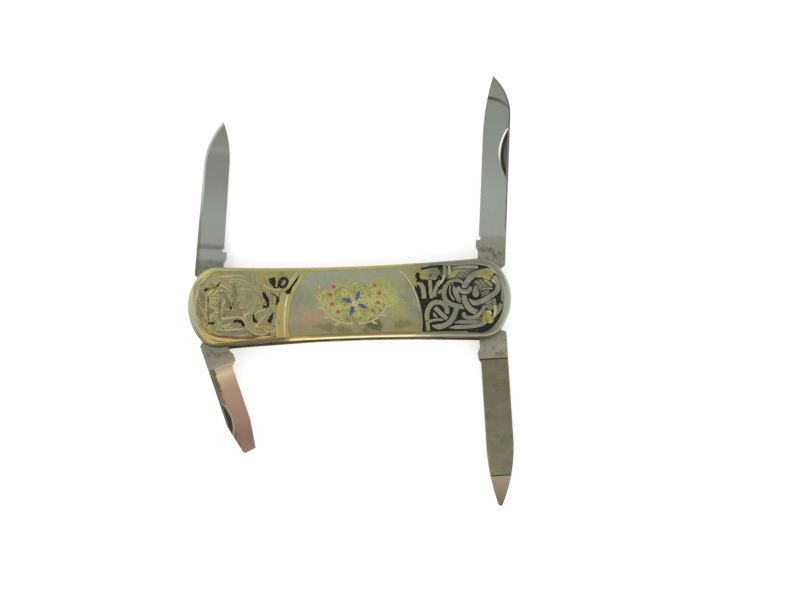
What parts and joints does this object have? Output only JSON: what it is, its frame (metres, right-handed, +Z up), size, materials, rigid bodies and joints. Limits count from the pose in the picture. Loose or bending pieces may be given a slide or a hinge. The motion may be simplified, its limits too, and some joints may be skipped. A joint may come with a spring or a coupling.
{
  "type": "folding pocket knife",
  "caption": "Small waisted pocket knife in gilt struck metal, with a main blade, a pen blade, a nail file and a screwdriver that swing out of its long edges.",
  "frame": {"origin": "centre of the flat back face on which the knife lies", "axes": "+X along the handle towards the main blade's pivot, +Y across it towards the edge that holds the two blades, +Z up through the front cover"},
  "size_m": [0.0713, 0.0941, 0.0064],
  "materials": {
    "gilt": "satin",
    "nickel_silver": "satin",
    "enamel": "gloss",
    "brass": "satin",
    "spring_steel": "satin",
    "blade_steel": "polished"
  },
  "bodies": {
    "handle": {"front_cover": "gilt", "back_cover": "gilt", "front_shield": "nickel_silver", "back_shield": "nickel_silver", "front_left_enamel": "enamel", "front_right_enamel": "enamel", "back_left_enamel": "enamel", "back_right_enamel": "enamel", "front_liner": "brass", "divider": "brass", "back_liner": "brass", "front_spring": "spring_steel", "back_spring": "spring_steel", "main_blade_pin": "brass", "pen_blade_pin": "brass", "nail_file_pin": "brass", "screwdriver_pin": "brass", "main_blade_spacer": "brass", "pen_blade_spacer": "brass", "nail_file_spacer": "brass", "screwdriver_spacer": "brass", "left_spring_rivet": "brass", "right_spring_rivet": "brass"},
    "main_blade": {"main_blade": "blade_steel"},
    "pen_blade": {"pen_blade": "blade_steel"},
    "nail_file": {"nail_file": "blade_steel"},
    "screwdriver": {"screwdriver": "blade_steel"}
  },
  "joints": [
    {"name": "main_blade_hinge", "type": "hinge", "parent": "handle", "child": "main_blade", "pos_m": [0.02975, 0.0047, 0.0042], "axis": [0, 0, -1], "range_deg": [-90.5, 85.2]},
    {"name": "pen_blade_hinge", "type": "hinge", "parent": "handle", "child": "pen_blade", "pos_m": [-0.02975, 0.0047, 0.0022], "axis": [0, 0, 1], "range_deg": [-81.1, 94.6]},
    {"name": "nail_file_hinge", "type": "hinge", "parent": "handle", "child": "nail_file", "pos_m": [0.02975, -0.0047, 0.0022], "axis": [0, 0, 1], "range_deg": [-86.7, 89]},
    {"name": "screwdriver_hinge", "type": "hinge", "parent": "handle", "child": "screwdriver", "pos_m": [-0.02975, -0.0047, 0.0042], "axis": [0, 0, -1], "range_deg": [-68.3, 107.4]}
  ]
}
